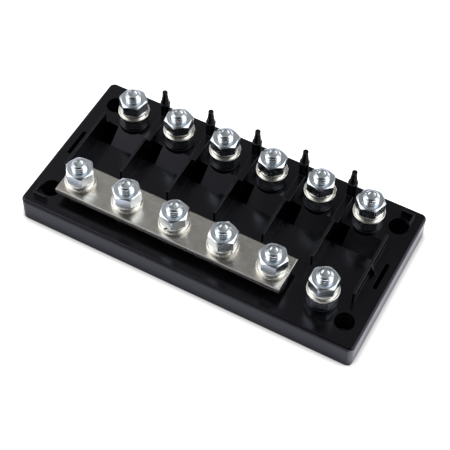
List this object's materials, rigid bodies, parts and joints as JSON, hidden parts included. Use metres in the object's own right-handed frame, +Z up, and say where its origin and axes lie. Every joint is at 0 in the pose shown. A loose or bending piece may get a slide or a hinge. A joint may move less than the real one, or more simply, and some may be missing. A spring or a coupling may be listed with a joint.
{
  "type": "mega fuse holder",
  "caption": "Long black moulded holder for bolted high-current fuses: two rows of studs with nuts and washers, open bays between walls, and a flat bar joining most of one row.",
  "frame": {"origin": "middle of the base's underside", "axes": "+X along the two rows of studs, towards the end that the bar leaves free; +Y to the row without the bar; +Z up, along the studs"},
  "size_m": [0.1806, 0.088, 0.0363],
  "materials": {
    "black_plastic": "moulded, semi-gloss",
    "plated_bar": "tin-plated copper, satin",
    "zinc_steel": "bright zinc-plated steel"
  },
  "bodies": {
    "holder": {"base": "black_plastic", "busbar": "plated_bar", "terminal_studs": "zinc_steel", "seat_nuts": "zinc_steel", "flat_washers": "zinc_steel"},
    "spring_washer_back_1": {"spring_washer_back_1": "zinc_steel"},
    "terminal_nut_back_1": {"terminal_nut_back_1": "zinc_steel"},
    "spring_washer_back_2": {"spring_washer_back_2": "zinc_steel"},
    "terminal_nut_back_2": {"terminal_nut_back_2": "zinc_steel"},
    "spring_washer_back_3": {"spring_washer_back_3": "zinc_steel"},
    "terminal_nut_back_3": {"terminal_nut_back_3": "zinc_steel"},
    "spring_washer_back_4": {"spring_washer_back_4": "zinc_steel"},
    "terminal_nut_back_4": {"terminal_nut_back_4": "zinc_steel"},
    "spring_washer_back_5": {"spring_washer_back_5": "zinc_steel"},
    "terminal_nut_back_5": {"terminal_nut_back_5": "zinc_steel"},
    "spring_washer_back_6": {"spring_washer_back_6": "zinc_steel"},
    "terminal_nut_back_6": {"terminal_nut_back_6": "zinc_steel"},
    "spring_washer_front_1": {"spring_washer_front_1": "zinc_steel"},
    "terminal_nut_front_1": {"terminal_nut_front_1": "zinc_steel"},
    "spring_washer_front_2": {"spring_washer_front_2": "zinc_steel"},
    "terminal_nut_front_2": {"terminal_nut_front_2": "zinc_steel"},
    "spring_washer_front_3": {"spring_washer_front_3": "zinc_steel"},
    "terminal_nut_front_3": {"terminal_nut_front_3": "zinc_steel"},
    "spring_washer_front_4": {"spring_washer_front_4": "zinc_steel"},
    "terminal_nut_front_4": {"terminal_nut_front_4": "zinc_steel"},
    "spring_washer_front_5": {"spring_washer_front_5": "zinc_steel"},
    "terminal_nut_front_5": {"terminal_nut_front_5": "zinc_steel"},
    "spring_washer_front_6": {"spring_washer_front_6": "zinc_steel"},
    "terminal_nut_front_6": {"terminal_nut_front_6": "zinc_steel"}
  },
  "joints": [
    {"name": "rise_back_1", "type": "slide", "parent": "holder", "child": "spring_washer_back_1", "axis": [0, 0, 1], "range_m": [0, 0.0102]},
    {"name": "turn_back_1", "type": "hinge", "parent": "spring_washer_back_1", "child": "terminal_nut_back_1", "pos_m": [-0.06563, 0.0255, 0.0261], "axis": [0, 0, 1], "range_deg": [0, 2937]},
    {"name": "rise_back_2", "type": "slide", "parent": "holder", "child": "spring_washer_back_2", "axis": [0, 0, 1], "range_m": [0, 0.0102]},
    {"name": "turn_back_2", "type": "hinge", "parent": "spring_washer_back_2", "child": "terminal_nut_back_2", "pos_m": [-0.03938, 0.0255, 0.0261], "axis": [0, 0, 1], "range_deg": [0, 2937]},
    {"name": "rise_back_3", "type": "slide", "parent": "holder", "child": "spring_washer_back_3", "axis": [0, 0, 1], "range_m": [0, 0.0102]},
    {"name": "turn_back_3", "type": "hinge", "parent": "spring_washer_back_3", "child": "terminal_nut_back_3", "pos_m": [-0.01312, 0.0255, 0.0261], "axis": [0, 0, 1], "range_deg": [0, 2937]},
    {"name": "rise_back_4", "type": "slide", "parent": "holder", "child": "spring_washer_back_4", "axis": [0, 0, 1], "range_m": [0, 0.0102]},
    {"name": "turn_back_4", "type": "hinge", "parent": "spring_washer_back_4", "child": "terminal_nut_back_4", "pos_m": [0.01312, 0.0255, 0.0261], "axis": [0, 0, 1], "range_deg": [0, 2937]},
    {"name": "rise_back_5", "type": "slide", "parent": "holder", "child": "spring_washer_back_5", "axis": [0, 0, 1], "range_m": [0, 0.0102]},
    {"name": "turn_back_5", "type": "hinge", "parent": "spring_washer_back_5", "child": "terminal_nut_back_5", "pos_m": [0.03938, 0.0255, 0.0261], "axis": [0, 0, 1], "range_deg": [0, 2937]},
    {"name": "rise_back_6", "type": "slide", "parent": "holder", "child": "spring_washer_back_6", "axis": [0, 0, 1], "range_m": [0, 0.0102]},
    {"name": "turn_back_6", "type": "hinge", "parent": "spring_washer_back_6", "child": "terminal_nut_back_6", "pos_m": [0.06563, 0.0255, 0.0261], "axis": [0, 0, 1], "range_deg": [0, 2937]},
    {"name": "rise_front_1", "type": "slide", "parent": "holder", "child": "spring_washer_front_1", "axis": [0, 0, 1], "range_m": [0, 0.0102]},
    {"name": "turn_front_1", "type": "hinge", "parent": "spring_washer_front_1", "child": "terminal_nut_front_1", "pos_m": [-0.06563, -0.0255, 0.0261], "axis": [0, 0, 1], "range_deg": [0, 2937]},
    {"name": "rise_front_2", "type": "slide", "parent": "holder", "child": "spring_washer_front_2", "axis": [0, 0, 1], "range_m": [0, 0.0102]},
    {"name": "turn_front_2", "type": "hinge", "parent": "spring_washer_front_2", "child": "terminal_nut_front_2", "pos_m": [-0.03938, -0.0255, 0.0261], "axis": [0, 0, 1], "range_deg": [0, 2937]},
    {"name": "rise_front_3", "type": "slide", "parent": "holder", "child": "spring_washer_front_3", "axis": [0, 0, 1], "range_m": [0, 0.0102]},
    {"name": "turn_front_3", "type": "hinge", "parent": "spring_washer_front_3", "child": "terminal_nut_front_3", "pos_m": [-0.01312, -0.0255, 0.0261], "axis": [0, 0, 1], "range_deg": [0, 2937]},
    {"name": "rise_front_4", "type": "slide", "parent": "holder", "child": "spring_washer_front_4", "axis": [0, 0, 1], "range_m": [0, 0.0102]},
    {"name": "turn_front_4", "type": "hinge", "parent": "spring_washer_front_4", "child": "terminal_nut_front_4", "pos_m": [0.01312, -0.0255, 0.0261], "axis": [0, 0, 1], "range_deg": [0, 2937]},
    {"name": "rise_front_5", "type": "slide", "parent": "holder", "child": "spring_washer_front_5", "axis": [0, 0, 1], "range_m": [0, 0.0102]},
    {"name": "turn_front_5", "type": "hinge", "parent": "spring_washer_front_5", "child": "terminal_nut_front_5", "pos_m": [0.03938, -0.0255, 0.0261], "axis": [0, 0, 1], "range_deg": [0, 2937]},
    {"name": "rise_front_6", "type": "slide", "parent": "holder", "child": "spring_washer_front_6", "axis": [0, 0, 1], "range_m": [0, 0.0102]},
    {"name": "turn_front_6", "type": "hinge", "parent": "spring_washer_front_6", "child": "terminal_nut_front_6", "pos_m": [0.06563, -0.0255, 0.0261], "axis": [0, 0, 1], "range_deg": [0, 2937]}
  ],
  "couplings": [
    {"joint": "rise_back_1", "follows": "turn_back_1", "m_per_rad": 0.00019894},
    {"joint": "rise_back_2", "follows": "turn_back_2", "m_per_rad": 0.00019894},
    {"joint": "rise_back_3", "follows": "turn_back_3", "m_per_rad": 0.00019894},
    {"joint": "rise_back_4", "follows": "turn_back_4", "m_per_rad": 0.00019894},
    {"joint": "rise_back_5", "follows": "turn_back_5", "m_per_rad": 0.00019894},
    {"joint": "rise_back_6", "follows": "turn_back_6", "m_per_rad": 0.00019894},
    {"joint": "rise_front_1", "follows": "turn_front_1", "m_per_rad": 0.00019894},
    {"joint": "rise_front_2", "follows": "turn_front_2", "m_per_rad": 0.00019894},
    {"joint": "rise_front_3", "follows": "turn_front_3", "m_per_rad": 0.00019894},
    {"joint": "rise_front_4", "follows": "turn_front_4", "m_per_rad": 0.00019894},
    {"joint": "rise_front_5", "follows": "turn_front_5", "m_per_rad": 0.00019894},
    {"joint": "rise_front_6", "follows": "turn_front_6", "m_per_rad": 0.00019894}
  ]
}
